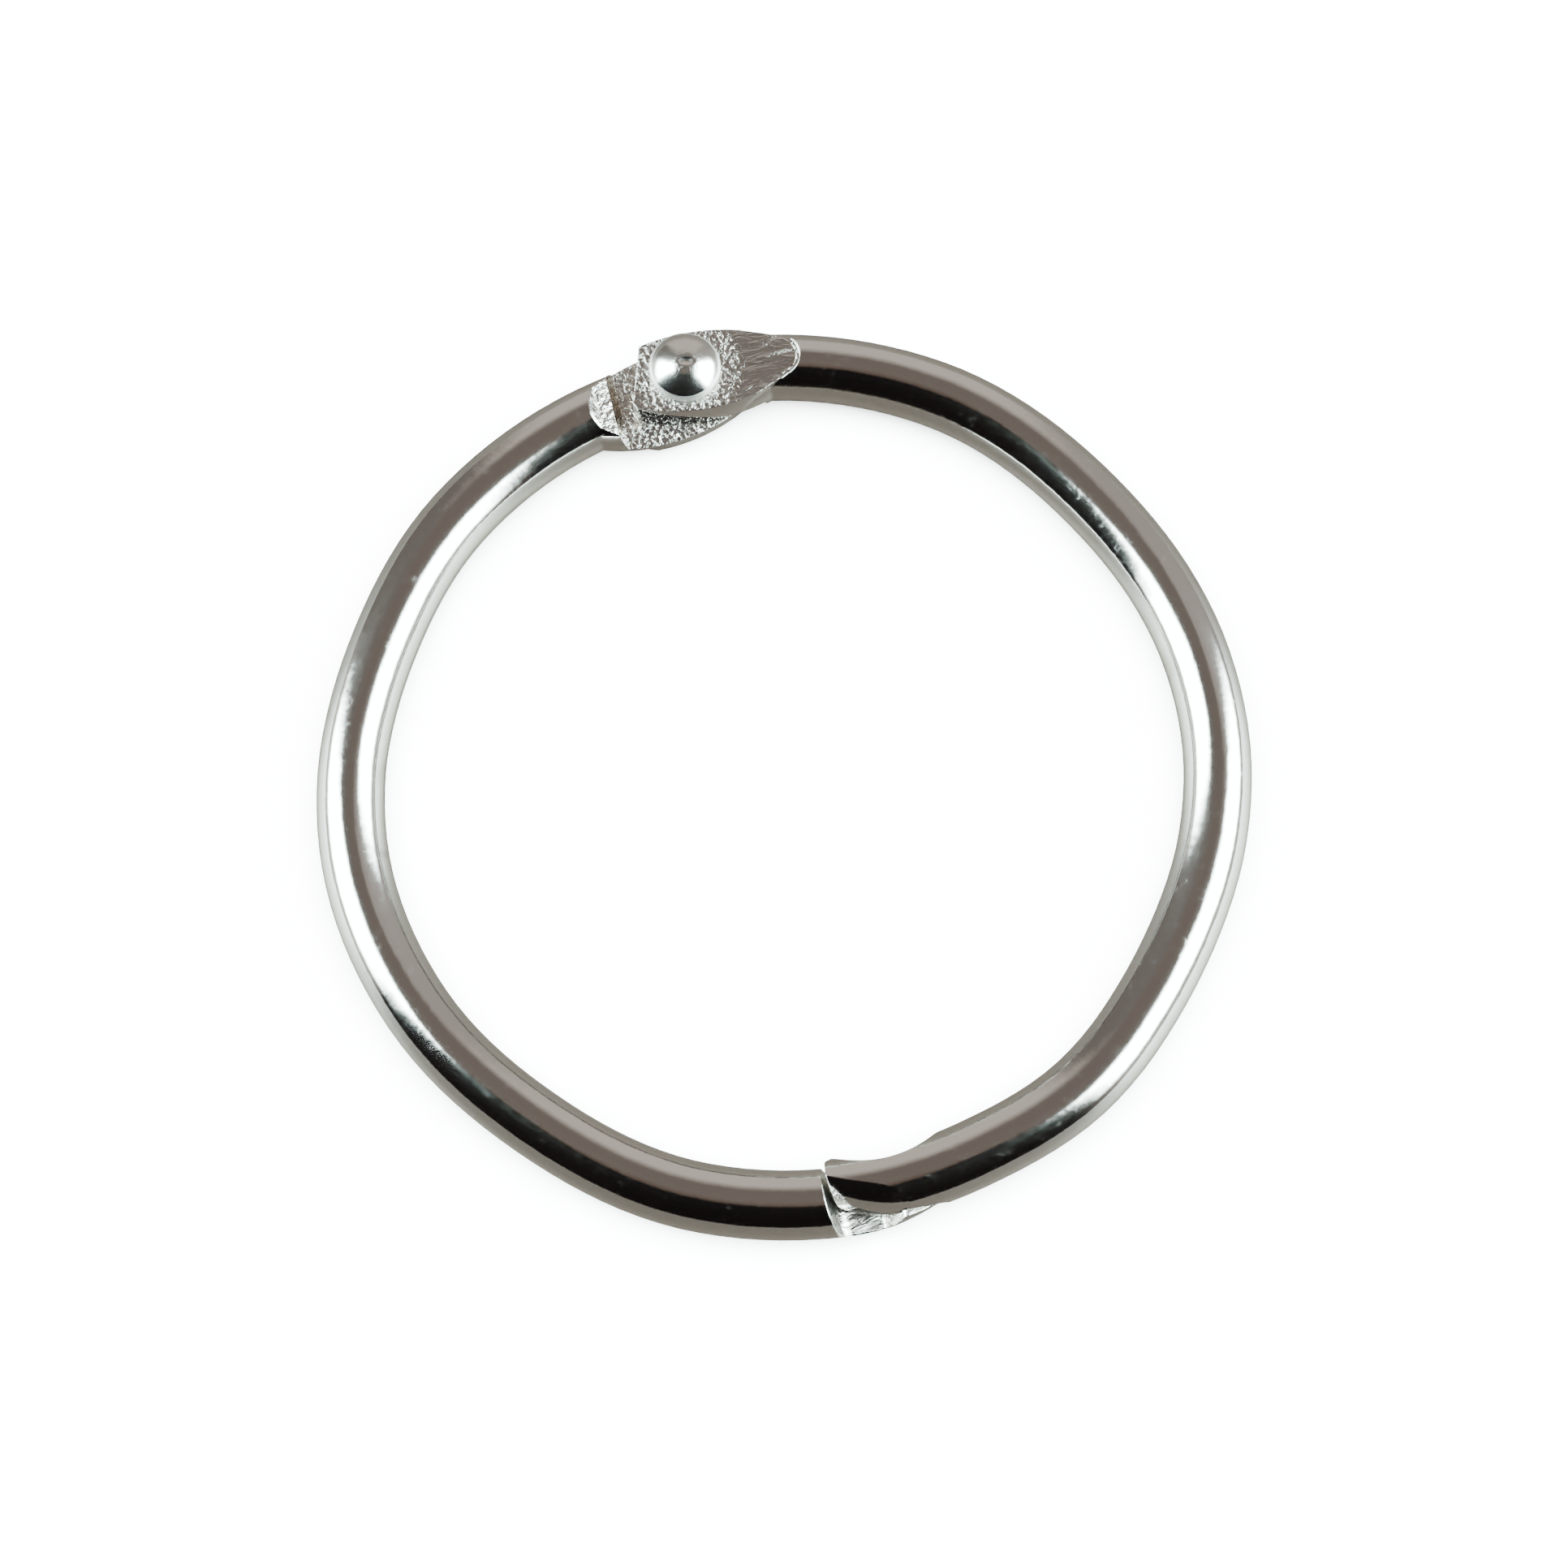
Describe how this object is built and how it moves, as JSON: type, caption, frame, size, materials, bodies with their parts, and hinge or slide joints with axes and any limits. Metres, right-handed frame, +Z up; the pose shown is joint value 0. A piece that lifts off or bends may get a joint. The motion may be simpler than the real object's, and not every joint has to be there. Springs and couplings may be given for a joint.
{
  "type": "hinged loose-leaf binder ring",
  "caption": "Hinged loose-leaf ring of round plated wire: two half rings riveted together at coined tongues on one side and snapped together by hooked half laps on the other.",
  "frame": {"origin": "centre of the ring, on the surface that the wire rests on", "axes": "+Z up out of the ring's plane, +Y from the latch to the hinge, +X to the half whose tongue lies on top"},
  "size_m": [0.0586, 0.0597, 0.0053],
  "materials": {
    "wire": "bright nickel plating",
    "rivet": "bright nickel plating"
  },
  "bodies": {
    "left_half": {"left_half": "wire"},
    "rivet": {"rivet": "rivet"},
    "right_half": {"right_half": "wire"}
  },
  "joints": [
    {"name": "swing", "type": "hinge", "parent": "left_half", "child": "rivet", "pos_m": [0, 0.0275, 0.00215], "axis": [0, 0, 1], "range_deg": [0, 140]},
    {"name": "rock", "type": "hinge", "parent": "rivet", "child": "right_half", "pos_m": [0, 0.0275, 0.003], "axis": [-1, 0, 0], "range_deg": [0, 1.8], "stiffness_Nm_per_rad": 1}
  ]
}
